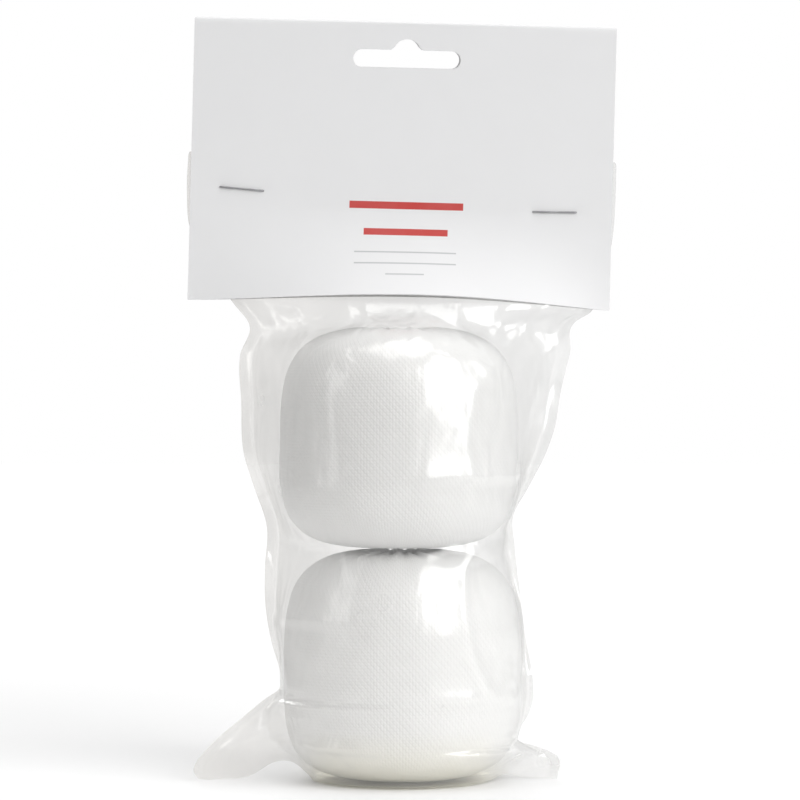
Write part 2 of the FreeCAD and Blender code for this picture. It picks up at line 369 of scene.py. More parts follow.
def make_cover(name, bottom, top, middle_x, seed):
    """One knitted cover as a turned grid with pleats, a crumpled dimple and soft lumps."""
    settings = bpy.context.scene.chalk_ball
    side, dimple = cover_profile(settings, top)
    profile = np.vstack([side, dimple])
    columns = 184
    rows = len(profile)
    length = np.concatenate([[0], np.cumsum(np.linalg.norm(np.diff(profile, axis=0), axis=1))])
    tangent = np.gradient(profile, axis=0)
    tangent /= np.linalg.norm(tangent, axis=1)[:, None] + 1e-12
    normal = np.stack([tangent[:, 1], -tangent[:, 0]], axis=1)
    angles = np.arange(columns) * math.tau / columns
    random = np.random.default_rng(seed)
    wander = sum(
        random.uniform(0.2, 0.5) * np.sin(k * angles + random.uniform(0, 6.28)) for k in (1, 2, 3, 5)
    )
    pleat_wave = -1.5 + np.cos(settings.pleats * angles + 2.2 * wander) + 0.5 * np.cos(
        (settings.pleats // 2) * angles - 1.7 * wander
    )
    points = np.zeros((rows, columns, 3))
    for row, (radius, z) in enumerate(profile):
        near_tie = smoothstep(-radius, -30 * MM, -8 * MM) if z > top * 0.6 else 0.0
        if row >= len(side):
            near_tie = 1.0
        depth = 0.34 * MM * near_tie * min(1.0, radius / (6 * MM))
        push = pleat_wave * depth
        r = radius + normal[row, 0] * push
        points[row, :, 0] = r * np.cos(angles)
        points[row, :, 1] = r * np.sin(angles)
        points[row, :, 2] = z + normal[row, 1] * push
    flat = points.reshape(-1, 3)
    lumps = ripple(flat, 34 * MM, seed + 1) * 0.26 * MM + ripple(flat, 11 * MM, seed + 2) * 0.08 * MM
    outward = np.repeat(normal, columns, axis=0)
    spin = np.tile(angles, rows)
    weight = np.repeat(np.clip(profile[:, 0] / (14 * MM), 0, 1) * (1 - 0.8 * np.abs(normal[:, 1])), columns)
    flat[:, 0] += np.cos(spin) * outward[:, 0] * lumps * weight
    flat[:, 1] += np.sin(spin) * outward[:, 0] * lumps * weight
    flat[:, 2] += outward[:, 1] * lumps * weight
    flat[:, 2] = np.maximum(flat[:, 2], 0)
    faces = grid_faces(rows, columns, wrap=True)
    uv = [(column / columns, length[row] / length[-1]) for row in range(rows) for column in range(columns)]
    # the first row is the bottom's middle, so it closes there
    thing = new_object(name, flat + np.array([middle_x, 0, bottom]), faces)
    set_uv(thing, uv, wrap_u=True)
    close_pole(thing, columns)
    return thing, length[-1]


def close_pole(thing, columns):
    """Merges the points of the bottom's middle, and closes the tuft's small mouth."""
    mesh = bmesh.new()
    mesh.from_mesh(thing.data)
    mesh.verts.ensure_lookup_table()
    ring = mesh.verts[:columns]
    middle = sum((corner.co for corner in ring), Vector()) / columns
    bmesh.ops.pointmerge(mesh, verts=ring, merge_co=middle)
    rim = [edge for edge in mesh.edges if edge.is_boundary]
    if rim:
        bmesh.ops.holes_fill(mesh, edges=rim, sides=0)
    mesh.to_mesh(thing.data)
    mesh.free()
    thing.data.shade_smooth()


def knit_material(run):
    """Fine white knit: columns of slanted stitches, faint diagonal ribs and rubbed-in chalk dust, with
    painted shade darkening the stitch valleys and ribs.
    """
    settings = bpy.context.scene.chalk_ball
    material, tree, shader = new_material("white_knit")
    uv = add_node(tree, "ShaderNodeTexCoord")
    split = add_node(tree, "ShaderNodeSeparateXYZ")
    tree.links.new(uv.outputs["UV"], split.inputs[0])
    across = times(tree, split.outputs[0], float(settings.wales))
    along = times(tree, split.outputs[1], run / settings.course)
    within = math_node(tree, "ABSOLUTE", minus(tree, math_node(tree, "FRACT", across), 0.5))
    slant = plus(tree, along, times(tree, within, 1.1))
    stitch = math_node(tree, "SINE", times(tree, slant, math.tau))
    valley = math_node(tree, "POWER", times(tree, within, 2.0), 3.0)
    height = minus(tree, times(tree, stitch, 0.35), valley)
    diagonal = math_node(
        tree, "SINE",
        math_node(
            tree, "MULTIPLY",
            plus(tree, times(tree, across, 0.5), times(tree, along, 0.42)),
            math.tau,
        ),
    )
    cloth = plus(tree, height, times(tree, diagonal, 0.35))
    place = uv.outputs["Object"]
    dust = noise(tree, place, 90.0, 4.0, 0.6)
    fuzz = noise(tree, place, 1900.0, 2.0, 0.6)
    # painted shade: the colour darkens in the stitch valleys and along the diagonal ribs, while the dust
    # patches lighten it
    stitch_shade_and_dust = plus(tree, times(tree, cloth, 0.05), 0.95)
    stitch_shade_and_dust = plus(tree, stitch_shade_and_dust, times(tree, minus(tree, dust, 0.5), 0.10))
    stitch_shade_and_dust = plus(tree, stitch_shade_and_dust, 0.0, clamp=True)
    dark = tuple(0.80 * level for level in settings.knit)
    colour = mix_colour(tree, stitch_shade_and_dust, dark, tuple(min(1.0, 1.01 * level) for level in settings.knit))
    tree.links.new(colour, shader.inputs["Base Color"])
    first = bump(tree, cloth, 0.40, 0.00018)
    second = bump(tree, fuzz, 0.30, 0.00010, before=first)
    tree.links.new(second, shader.inputs["Normal"])
    rough = plus(tree, times(tree, dust, 0.12), 0.84, clamp=True)
    tree.links.new(rough, shader.inputs["Roughness"])
    shader.inputs["Sheen Weight"].default_value = 0.25
    shader.inputs["Sheen Roughness"].default_value = 0.5
    shader.inputs["Subsurface Weight"].default_value = 0.0
    return material


def chalk_material():
    """Loose magnesium chalk: white, dull and granular."""
    material, tree, shader = new_material("loose_chalk")
    place = add_node(tree, "ShaderNodeTexCoord").outputs["Object"]
    grain = noise(tree, place, 700.0, 5.0, 0.7)
    clumps = noise(tree, place, 120.0, 3.0, 0.5)
    level = plus(tree, times(tree, grain, 0.4), times(tree, clumps, 0.6))
    colour = mix_colour(tree, level, (0.80, 0.80, 0.79), (0.90, 0.90, 0.89))
    tree.links.new(colour, shader.inputs["Base Color"])
    tree.links.new(bump(tree, grain, 0.6, 0.0004), shader.inputs["Normal"])
    shader.inputs["Roughness"].default_value = 0.95
    return material


def thread_material():
    """Off-white twisted thread, with painted shade in the grooves of its twist."""
    material, tree, shader = new_material("tie_thread")
    place = add_node(tree, "ShaderNodeTexCoord").outputs["UV"]
    twist = add_node(tree, "ShaderNodeTexWave", Scale=14.0, Distortion=1.0, Detail=1.0)
    twist.wave_type = "BANDS"
    twist.bands_direction = "DIAGONAL"
    tree.links.new(place, twist.inputs["Vector"])
    # painted shade: the colour darkens in the twist's grooves, following the same bands as the bump
    colour = mix_colour(tree, twist.outputs["Fac"], (0.62, 0.61, 0.58), (0.86, 0.85, 0.82))
    tree.links.new(colour, shader.inputs["Base Color"])
    tree.links.new(bump(tree, twist.outputs["Fac"], 0.6, 0.0001), shader.inputs["Normal"])
    shader.inputs["Roughness"].default_value = 0.8
    return material


class CHALKPACK_OT_covers(bpy.types.Operator):
    """Make the two knitted ball covers"""

    bl_idname = "chalkpack.covers"
    bl_label = "Ball covers"

    def execute(self, context):
        knit = None
        for (body, bottom, height, middle), seed in ((LOWER_BALL, 11), (UPPER_BALL, 47)):
            cover, run = make_cover(body + "_knit_cover", bottom, height, middle, seed)
            knit = knit or knit_material(run)
            cover.data.materials.append(knit)
            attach(cover, body)
            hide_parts(body + "_cover")
        return {"FINISHED"}


class CHALKPACK_OT_chalk(bpy.types.Operator):
    """Make the loose chalk inside each ball"""

    bl_idname = "chalkpack.chalk"
    bl_label = "Loose chalk"

    def execute(self, context):
        settings = context.scene.chalk_ball
        material = chalk_material()
        wall = 1.7 * MM
        for (body, bottom, height, middle), seed in ((LOWER_BALL, 5), (UPPER_BALL, 9)):
            profile = [(max(r - wall, 0), z) for r, z in ball_profile(settings, height)]
            profile = [(r, min(max(z, wall), height - 10.5 * MM + 0.24 * r)) for r, z in profile]
            columns = 96
            turned = [
                (r * math.cos(a), r * math.sin(a), z)
                for r, z in profile
                for a in (math.tau * c / columns for c in range(columns))
            ]
            points = np.array(turned)
            outward = points - np.array([0, 0, height / 2])
            outward /= np.linalg.norm(outward, axis=1)[:, None] + 1e-9
            points += outward * (ripple(points, 9 * MM, seed)[:, None] * 0.22 - 0.25) * MM
            heap = new_object(
                body + "_loose_chalk", points + np.array([middle, 0, bottom]),
                grid_faces(len(profile), columns, wrap=True),
            )
            close_pole(heap, columns)
            heap.data.materials.append(material)
            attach(heap, body)
            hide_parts(body + "_chalk")
        return {"FINISHED"}


def tube(name, path, radius, sides=10, closed_ends=True, squash=1.0, up=None):
    """A round or flattened tube along a list of points, with UVs along and around it."""
    path = [Vector(p) for p in path]
    count = len(path)
    vertices = []
    uv = []
    frame_up = Vector(up) if up else Vector((0, 0, 1))
    run = 0.0
    for index, point in enumerate(path):
        before = path[max(index - 1, 0)]
        after = path[min(index + 1, count - 1)]
        along = (after - before).normalized()
        side = along.cross(frame_up)
        if side.length < 1e-4:
            side = along.cross(Vector((1, 0, 0)))
        side.normalize()
        lift = side.cross(along).normalized()
        if not up:
            frame_up = lift
        run += (point - before).length
        for corner in range(sides):
            angle = math.tau * corner / sides
            vertices.append(
                point + side * math.cos(angle) * radius + lift * math.sin(angle) * radius * squash
            )
            uv.append((corner / sides, run * 1000))
    faces = grid_faces(count, sides, wrap=True)
    if closed_ends:
        faces.append(list(range(sides))[::-1])
        faces.append([(count - 1) * sides + corner for corner in range(sides)])
    thing = new_object(name, vertices, faces)
    set_uv(thing, uv)
    return thing


class CHALKPACK_OT_ties(bpy.types.Operator):
    """Make the thread that ties each cover shut"""

    bl_idname = "chalkpack.ties"
    bl_label = "Tie threads"

    def execute(self, context):
        material = thread_material()
        for body in ("lower_ball", "upper_ball"):
            low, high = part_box(body + "_tie")
            middle_x = (low.x + high.x) / 2
            thread = 0.3 * MM
            turns = 3.25
            steps = 150
            path = []
            for step in range(steps + 1):
                share = step / steps
                angle = math.tau * turns * share
                ring = 2.95 * MM + 0.05 * MM * math.sin(3 * angle)
                path.append(
                    (
                        middle_x + ring * math.cos(angle), ring * math.sin(angle),
                        low.z + 0.35 * MM + 1.2 * MM * share
                    )
                )
            # the end is tucked up beside the tuft
            angle = math.tau * turns
            path.append(
                (
                    middle_x + 3.4 * MM * math.cos(angle + 0.3), 3.4 * MM * math.sin(angle + 0.3),
                    low.z + 2.2 * MM
                )
            )
            path.append(
                (
                    middle_x + 4.6 * MM * math.cos(angle + 0.5), 4.6 * MM * math.sin(angle + 0.5),
                    low.z + 3.9 * MM
                )
            )
            path.append(
                (
                    middle_x + 5.6 * MM * math.cos(angle + 0.6), 5.6 * MM * math.sin(angle + 0.6),
                    low.z + 5.1 * MM
                )
            )
            tie = tube(body + "_tie_thread", path, thread, sides=10)
            tie.data.materials.append(material)
            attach(tie, body)
            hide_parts(body + "_tie")
        return {"FINISHED"}


# ---------------------------------------------------------------- header card
def flap_swell(x):
    """Share of the flap's bow across the card, peaking a little to the right of its middle."""
    settings = bpy.context.scene.chalk_card
    peak = settings.bow_peak
    half = settings.width / 2 + 1.2 * MM
    left = np.clip((peak - x) / (half + peak), 0, 1)
    right = np.clip((x - peak) / (half - peak), 0, 1)
    share = np.where(x < peak, left, right)
    power = np.where(x < peak, 1.45, 1.25)
    return np.cos(share * math.pi / 2).clip(0, 1) ** power


def flap_bow(x, z):
    """How far the panels stand out from the flat at a place in the card's frame."""
    settings = bpy.context.scene.chalk_card
    down = np.clip((settings.above_neck + settings.flap - z) / settings.flap, 0, 1)
    return settings.bow * flap_swell(x) * (0.18 * down + 0.82 * down**1.9)


def card_point(x, run, side, offset):
    """A place on a panel: `run` up from its lower edge, side -1 in front, `offset` out from the middle."""
    settings = bpy.context.scene.chalk_card
    rise = settings.rise * flap_swell(x)
    down = np.clip(1 - run / settings.flap, 0, 1)
    z = settings.above_neck + run + rise * down**1.4
    bow = settings.bow * flap_swell(x) * (0.18 * down + 0.82 * down**1.9)
    # stapled corners and handling leave the board very slightly wavy
    wave = 0.10 * MM * np.sin(x * 52 + 1.1) * np.sin(run * 61 + 0.4)
    dent = np.zeros_like(x)
    for _, sx, sz, _ in STAPLES:
        away = np.hypot((np.abs(x / MM - sx) - 6.1) / 2.2, (z / MM - sz) / 1.6)
        dent -= 0.16 * MM * np.exp(-(away**2))
    return x, side * (offset + bow + wave * 0.5 + dent), z


def make_card():
    """The folded board: front panel, fold and back panel as one sheet with thickness."""
    settings = bpy.context.scene.chalk_card
    columns = 97
    half = settings.width / 2
    xs = np.linspace(-half, half, columns)
    offset = settings.half_gap + settings.thickness / 2
    panel = settings.height - offset - settings.thickness / 2
    runs = np.concatenate([np.linspace(0, settings.flap, 30), np.linspace(settings.flap, panel, 44)[1:]])
    fold_steps = 9
    rows = []
    lengths = []
    for run in runs:
        x, y, z = card_point(xs, np.full(columns, run), -1, offset)
        rows.append(np.stack([x, y, z], axis=-1))
        lengths.append(run)
    fold_z = settings.above_neck + panel
    for step in range(1, fold_steps):
        angle = math.pi * step / fold_steps
        rows.append(
            np.stack(
                [
                    xs, np.full(columns, -offset * math.cos(angle)),
                    np.full(columns, fold_z + offset * math.sin(angle))
                ],
                axis=-1,
            )
        )
        lengths.append(panel + offset * angle)
    for run in runs[::-1]:
        x, y, z = card_point(xs, np.full(columns, run), 1, offset)
        rows.append(np.stack([x, y, z], axis=-1))
        lengths.append(2 * panel + offset * math.pi - run)
    points = np.array(rows)
    flat = points.reshape(-1, 3)
    placed = from_card_frame(flat[:, 0], flat[:, 1], flat[:, 2])
    total = lengths[-1]
    card = new_object("header_card_board", placed, grid_faces(len(rows), columns))
    uv = [((x + half) / settings.width, length / total) for length in lengths for x in xs]
    set_uv(card, uv)
    solid = card.modifiers.new("board", "SOLIDIFY")
    solid.thickness = settings.thickness
    solid.offset = 0
    apply_modifiers(card)
    face_outwards(card)
    return card, total


def slot_outline(x0, z0):
    """Outline of the hang slot round its middle: a band with round ends and a hump on top."""
    length, height, hump, rise = 30.5 * MM, 5.2 * MM, 7.7 * MM, 3.1 * MM
    radius = height / 2
    straight = length / 2 - radius
    corner = 0.7 * MM
    points = []
    for step in range(13):
        angle = -math.pi / 2 + math.pi * step / 12
        points.append((x0 + straight + radius * math.cos(angle), z0 + radius * math.sin(angle)))
    hump_radius = ((hump / 2) ** 2 + rise**2) / (2 * rise)
    start = math.asin(hump / 2 / hump_radius)
    points.append((x0 + hump / 2 + corner, z0 + radius))
    for step in range(1, 12):
        angle = start - 2 * start * step / 12
        points.append(
            (
                x0 + hump_radius * math.sin(angle),
                z0 + radius + rise - hump_radius + hump_radius * math.cos(angle)
            )
        )
    points.append((x0 - hump / 2 - corner, z0 + radius))
    for step in range(13):
        angle = math.pi / 2 + math.pi * step / 12
        points.append((x0 - straight + radius * math.cos(angle), z0 + radius * math.sin(angle)))
    return points


def face_outwards(thing):
    mesh = bmesh.new()
    mesh.from_mesh(thing.data)
    bmesh.ops.recalc_face_normals(mesh, faces=mesh.faces)
    mesh.to_mesh(thing.data)
    mesh.free()


def cut_slot(card):
    """Cuts the slot through each panel; the back one lies a little off, as the fold isn't exact."""
    settings = bpy.context.scene.chalk_card
    middle_z = settings.above_neck + settings.height - 10.6 * MM
    for shift_x, shift_z, near, far in ((0.6, 0.0, -2.0, 0.0), (0.2, 0.25, 0.0, 2.0)):
        outline = slot_outline(shift_x * MM, middle_z + shift_z * MM)
        count = len(outline)
        corners = []
        for y in (near * MM, far * MM):
            for x, z in outline:
                corners.append(from_card_frame(np.array(x), np.array(y), np.array(z)))
        faces = [list(range(count))[::-1], [count + i for i in range(count)]]
        faces += [[i, (i + 1) % count, count + (i + 1) % count, count + i] for i in range(count)]
        cutter = new_object("slot_cutter", corners, faces, smooth=False)
        face_outwards(cutter)
        cut = card.modifiers.new("slot", "BOOLEAN")
        cut.operation = "DIFFERENCE"
        cut.solver = "EXACT"
        cut.object = cutter
        apply_modifiers(card)
        bpy.data.objects.remove(cutter)
    card.data.shade_smooth()
    edge = card.modifiers.new("edges", "EDGE_SPLIT")
    edge.split_angle = math.radians(35)
    apply_modifiers(card)


def bar_mask(tree, u, v, x, z, width, height, soft=0.00012):
    """1 inside a plain bar, from the card's own coordinates in metres."""
    across = math_node(tree, "ABSOLUTE", minus(tree, u, x))
    up = math_node(tree, "ABSOLUTE", minus(tree, v, z))
    inside_x = math_node(tree, "DIVIDE", minus(tree, width / 2, across), soft, clamp=True)
    inside_z = math_node(tree, "DIVIDE", minus(tree, height / 2, up), soft, clamp=True)
    return times(tree, inside_x, inside_z)


def card_material(total):
    """Satin coated board with plain printed bars, faint mottle and paper fibre."""
    settings = bpy.context.scene.chalk_card
    material, tree, shader = new_material("coated_board")
    coordinate = add_node(tree, "ShaderNodeTexCoord")
    split = add_node(tree, "ShaderNodeSeparateXYZ")
    tree.links.new(coordinate.outputs["UV"], split.inputs[0])
    u = times(tree, minus(tree, split.outputs[0], 0.5), settings.width)
    v = times(tree, split.outputs[1], total)
    place = coordinate.outputs["Object"]
    mottle = noise(tree, place, 60.0, 4.0, 0.6)
    fibre = noise(tree, place, 1500.0, 3.0, 0.7)
    board = mix_colour(tree, mottle, tuple(0.975 * c for c in settings.board), settings.board)
    red = None
    for x, z, width, height in ((0.0015, 0.0283, 0.0325, 0.0022), (0.0015, 0.0203, 0.0240, 0.0022)):
        mask = bar_mask(tree, u, v, x, z, width, height)
        red = mask if red is None else math_node(tree, "MAXIMUM", red, mask)
    grey = None
    rules = ((0.0015, 0.0139, 0.0290), (0.0015, 0.0103, 0.0290), (0.0015, 0.0067, 0.0110))
    back = total - 0.022
    rules_back = tuple((0.0, back - 0.0042 * row, 0.070 - 0.018 * (row == 4)) for row in range(5))
    for x, z, width in rules + rules_back:
        mask = bar_mask(tree, u, v, x, z, width, 0.00055)
        grey = mask if grey is None else math_node(tree, "MAXIMUM", grey, mask)
    worn = times(tree, red, plus(tree, times(tree, mottle, 0.16), 0.86))
    faint = times(tree, grey, 0.62)
    colour = mix_colour(tree, faint, board, settings.grey_ink)
    colour = mix_colour(tree, worn, colour, settings.ink)
    tree.links.new(colour, shader.inputs["Base Color"])
    rough = plus(tree, times(tree, mottle, 0.14), 0.38, clamp=True)
    tree.links.new(rough, shader.inputs["Roughness"])
    first = bump(tree, fibre, 0.12, 0.00008)
    second = bump(tree, mottle, 0.10, 0.0006, before=first)
    tree.links.new(second, shader.inputs["Normal"])
    shader.inputs["Specular IOR Level"].default_value = 0.45
    return material


class CHALKPACK_OT_card(bpy.types.Operator):
    """Make the folded header card with its hang slot"""

    bl_idname = "chalkpack.card"
    bl_label = "Header card"

    def execute(self, context):
        card, total = make_card()
        cut_slot(card)
        card.data.materials.clear()
        card.data.materials.append(card_material(total))
        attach(card, "header")
        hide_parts("header_card")
        return {"FINISHED"}


# ---------------------------------------------------------------- staples
def staple_path(turn, x0, z0):
    """Crown in front, rounded shoulders, legs through the stack and clinched ends behind."""
    half = 6.4 * MM - 0.28 * MM
    face = 0.98 * MM
    back = 1.0 * MM
    bend = 0.55 * MM
    path = []
    clinch = 4.4 * MM

    def arc(cx, cy, start, end, steps=6):
        for step in range(steps + 1):
            angle = start + (end - start) * step / steps
            path.append((cx + bend * math.cos(angle), cy + bend * math.sin(angle)))

    path += [(-half + clinch, back - 0.30 * MM), (-half + clinch * 0.75, back + 0.10 * MM)]
    path += [(-half + clinch * 0.45, back + 0.16 * MM)]
    arc(-half + bend, back - bend + 0.05 * MM, math.pi / 2, math.pi)
    arc(-half + bend, -face + bend, math.pi, 1.5 * math.pi)
    for step in range(1, 12):
        share = step / 12
        x = -half + bend + (2 * half - 2 * bend) * share
        path.append((x, -face - 0.05 * MM * math.sin(math.pi * share)))
    arc(half - bend, -face + bend, -0.5 * math.pi, 0)
    arc(half - bend, back - bend + 0.05 * MM, 0, math.pi / 2)
    path += [(half - clinch * 0.45, back + 0.16 * MM), (half - clinch * 0.75, back + 0.10 * MM)]
    path += [(half - clinch, back - 0.30 * MM)]
    placed = []
    angle = math.radians(turn)
    for x, y in path:
        px = x0 * MM + x * math.cos(angle)
        pz = z0 * MM - x * math.sin(angle)
        placed.append(from_card_frame(np.array(px), np.array(y), np.array(pz)))
    return placed


def wire_material():
    """Bright drawn steel wire with fine lengthwise scratches and duller patches."""
    material, tree, shader = new_material("staple_wire")
    coordinate = add_node(tree, "ShaderNodeTexCoord")
    mapping = add_node(tree, "ShaderNodeMapping")
    mapping.inputs["Scale"].default_value = (30.0, 0.25, 1.0)
    tree.links.new(coordinate.outputs["UV"], mapping.inputs["Vector"])
    scratch = noise(tree, mapping.outputs["Vector"], 2.0, 3.0, 0.6)
    patch = noise(tree, coordinate.outputs["Object"], 350.0, 2.0, 0.5)
    colour = mix_colour(tree, patch, (0.20, 0.20, 0.21), (0.46, 0.46, 0.47))
    tree.links.new(colour, shader.inputs["Base Color"])
    rough = plus(tree, times(tree, scratch, 0.30), 0.22, clamp=True)
    tree.links.new(rough, shader.inputs["Roughness"])
    tree.links.new(bump(tree, scratch, 0.25, 0.00004), shader.inputs["Normal"])
    shader.inputs["Metallic"].default_value = 1.0
    return material


class CHALKPACK_OT_staples(bpy.types.Operator):
    """Make the two wire staples"""

    bl_idname = "chalkpack.staples"
    bl_label = "Staples"

    def execute(self, context):
        material = wire_material()
        for node, x0, z0, turn in STAPLES:
            staple = tube(node + "_wire", staple_path(turn, x0, z0), 0.29 * MM, sides=14, squash=0.86)
            staple.data.materials.append(material)
            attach(staple, "header")
            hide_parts(node)
        return {"FINISHED"}


# ---------------------------------------------------------------- film bag
# Outer edge of each side weld: height above the stand and distance across, in millimetres.
LEFT_EDGE = (
    (178, -61.9), (166, -62.1), (155, -60.9), (145, -56.0), (135, -48.3), (130, -43.6), (121, -46.1),
    (108, -45.8), (92.6, -45.0), (83, -42.2), (72, -38.6), (60, -39.1), (50, -39.0), (40, -37.4),
    (29.5, -34.6), (26.2, -34.2), (23, -38.8), (18, -45.0), (12.5, -51.8), (8, -56.3), (4.5, -58.6),
    (2.3, -59.1), (0, -57.5),
)
RIGHT_EDGE = (
    (178, 59.9), (166, 59.9), (155, 59.3), (145, 57.2), (136, 54.6), (133.2, 53.6), (131, 50.0),
    (121.6, 47.9), (110, 45.2), (100, 43.4), (92.6, 40.8), (83, 35.9), (75, 31.6), (67, 32.0),
    (53, 33.6), (40, 35.2), (28, 37.2), (22, 37.1), (17, 35.2), (13, 32.2), (11, 32.4), (9, 39.6),
    (7, 43.9), (5, 44.9), (2.5, 44.4), (0, 44.0),
)


def edge_at(points, z):
    """Smooth distance across at a height in metres, from an edge's chosen places."""
    heights = np.array([p[0] for p in points][::-1], float) * MM
    across = np.array([p[1] for p in points][::-1], float) * MM
    slopes = np.gradient(across, heights)
    index = np.clip(np.searchsorted(heights, z) - 1, 0, len(heights) - 2)
    gap = heights[index + 1] - heights[index]
    t = np.clip((z - heights[index]) / gap, 0, 1)
    return (
        (2 * t**3 - 3 * t**2 + 1) * across[index]
        + (t**3 - 2 * t**2 + t) * gap * slopes[index]
        + (3 * t**2 - 2 * t**3) * across[index + 1]
        + (t**3 - t**2) * gap * slopes[index + 1]
    )


def ball_radius_at(z):
    """Radius that a ball fills at a height, with the bridges over the waist and the base."""
    settings = bpy.context.scene.chalk_ball
    _, bottom, height, _ = LOWER_BALL if z < UPPER_BALL[1] else UPPER_BALL
    level = np.clip(2 * (z - bottom) / height - 1, -1, 1)
    square = settings.base_squareness if level < 0 else settings.top_squareness
    held = settings.radius * (1 - abs(level) ** square) ** (1 / square)
    # the film bridges the base, the waist between the balls and the shoulder below the neck
    low_middle = LOWER_BALL[1] + LOWER_BALL[2] / 2
    high_middle = UPPER_BALL[1] + UPPER_BALL[2] / 2
    places = (
        low_middle - 10 * MM, low_middle + 10 * MM, high_middle - 12 * MM, high_middle + 12 * MM, 129 * MM
    )
    bridge = np.interp(z, places, (25.0 * MM, 28.2 * MM, 28.2 * MM, 20.0 * MM, 12.0 * MM))
    return (held**9 + bridge**9) ** (1 / 9)


def film_section(z, height_above_neck, columns):
    """One ply's crosswise line at a height: across and out, from the left weld to the right one."""
    film = bpy.context.scene.chalk_film
    card = bpy.context.scene.chalk_card
    left = float(edge_at(LEFT_EDGE, z)) + film.weld
    right = float(edge_at(RIGHT_EDGE, z)) - film.weld
    samples = 700
    sweep = (1 - np.cos(np.linspace(0, math.pi, samples))) / 2
    x = left + (right - left) * sweep
    middle = -1.0 * MM * smoothstep(z, 50 * MM, 80 * MM)
    radius = ball_radius_at(z) + film.clearance
    out = np.zeros(samples)
    if z < UPPER_BALL[1] + UPPER_BALL[2] + 2 * MM:
        for side, edge in ((-1, left), (1, right)):
            reach = max(side * (edge - middle), radius + 0.25 * MM)
            ear_free = 1 - smoothstep(z, 18 * MM, 36 * MM)
            corner = reach + (min(reach, radius + 4.5 * MM) - reach) * ear_free
            tangent_x = radius * radius / corner
            tangent_y = radius * math.sqrt(max(1 - (radius / corner) ** 2, 0))
            from_middle = side * (x - middle)
            arc = np.sqrt(np.clip(radius**2 - from_middle**2, 0, None))
            slope = tangent_y * np.clip((corner - from_middle) / (corner - tangent_x + 1e-9), 0, 1)
            line = np.where(from_middle > tangent_x, slope, arc)
            out = np.where(from_middle >= 0, line, out)
    lens = np.sin(math.pi * np.clip((x - left) / (right - left), 0, 1)) ** 0.8
    if height_above_neck > 0:
        inside = flap_bow(x, np.full(samples, height_above_neck)) - 0.12 * MM
        width = np.clip(np.minimum(x - left, right - x) / (9 * MM), 0, 1)
        out = np.maximum(inside, 0) * width**0.7
    else:
        card_bow = flap_bow(x, np.full(samples, card.above_neck))
        neck = smoothstep(z, 121 * MM, 134 * MM)
        out = np.maximum(out, neck * np.minimum(card_bow + 1.0 * MM, 12.4 * MM) * lens**0.5)
    puff = 0.75 * MM * lens
    out = np.maximum(out, puff * (1 - 0.85 * smoothstep(z, 20 * MM, 40 * MM)))
    run = np.concatenate([[0], np.cumsum(np.hypot(np.diff(x), np.diff(out)))])
    even = np.linspace(0, run[-1], columns)
    return np.interp(even, run, x), np.interp(even, run, out)


def film_rows():
    """Heights of the film's rows above the stand, from its mouth down to its base."""
    mouth = NECK.z + bpy.context.scene.chalk_film.mouth
    above = np.linspace(mouth, NECK.z + 0.2 * MM, 24)
    middle = np.linspace(NECK.z - 1.2 * MM, 30 * MM, 72)
    low = np.linspace(28.8 * MM, 0.5 * MM, 31)
    return np.concatenate([above, middle, low])


def make_film():
    """Both plies as one open-mouthed bag, with flat welds at the sides and a fold along the base."""
    columns = 78
    strip = 3
    heights = film_rows()
    front = []
    for z in heights:
        x, out = film_section(z, z - NECK.z, columns)
        left = float(edge_at(LEFT_EDGE, z))
        right = float(edge_at(RIGHT_EDGE, z))
        strip_left = np.linspace(left, x[0], strip + 1)[:-1]
        strip_right = np.linspace(x[-1], right, strip + 1)[1:]
        row_x = np.concatenate([strip_left, x, strip_right])
        row_out = np.concatenate([np.zeros(strip), out, np.zeros(strip)])
        front.append(np.stack([row_x, row_out, np.full(len(row_x), z)], axis=-1))
    front = np.array(front)
    # the plies are relaxed between their supports, and never sink into the balls
    front = relax_ply(front, strip)
    rows = list(front)
    base = front[-1]
    for share in (0.86, 0.7, 0.5, 0.3, 0.12, 0.0):
        row = base.copy()
        row[:, 1] = base[:, 1] * share
        row[:, 2] = 0.35 * MM + (base[:, 2] - 0.35 * MM) * 0.3 * share
        rows.append(row)
    ply = np.array(rows)
    lift_ears(ply)
    total_rows, total_columns = ply.shape[:2]
    v_length = np.concatenate(
        [[0], np.cumsum(np.linalg.norm(np.diff(ply[:, total_columns // 2], axis=0), axis=1))]
    )
    plies = np.stack([ply * np.array([1, -1, 1]), ply])
    plies = settle(plies, strip)
    press_folds(plies)
    keep_out(plies, 1.0 * MM)
    sway_edges(plies)
    flat = plies.reshape(-1, 3)
    share = smoothstep(flat[:, 2], 129 * MM, 139 * MM)
    placed = from_card_frame(flat[:, 0] - NECK.x, flat[:, 1], flat[:, 2] - NECK.z, share)
    uv = [
        (half + 0.49 * column / (total_columns - 1), v_length[row] / v_length[-1])
        for half in (0.0, 0.5)
        for row in range(total_rows)
        for column in range(total_columns)
    ]
    faces = grid_faces(total_rows, total_columns)
    faces += grid_faces(total_rows, total_columns, start=total_rows * total_columns, flip=True)
    bag = new_object("film_bag", placed, faces)
    set_uv(bag, uv)
    return bag


def relax_ply(front, strip):
    """Rounds the ply's bridges while the balls and the card hold it out."""
    floor = front[:, :, 1].copy()
    shape = floor.copy()
    inner = slice(strip + 1, -strip - 1)
    for _ in range(16):
        average = shape.copy()
        average[1:-1, 1:-1] = (
            shape[:-2, 1:-1] + shape[2:, 1:-1] + shape[1:-1, :-2] + shape[1:-1, 2:]
        ) / 4
        shape[1:-1, inner] = np.maximum(average[1:-1, inner], floor[1:-1, inner] * 0.995)
    front = front.copy()
    keep = front[:, :, 2] > NECK.z
    front[:, :, 1] = np.where(keep, floor, shape)
    return front


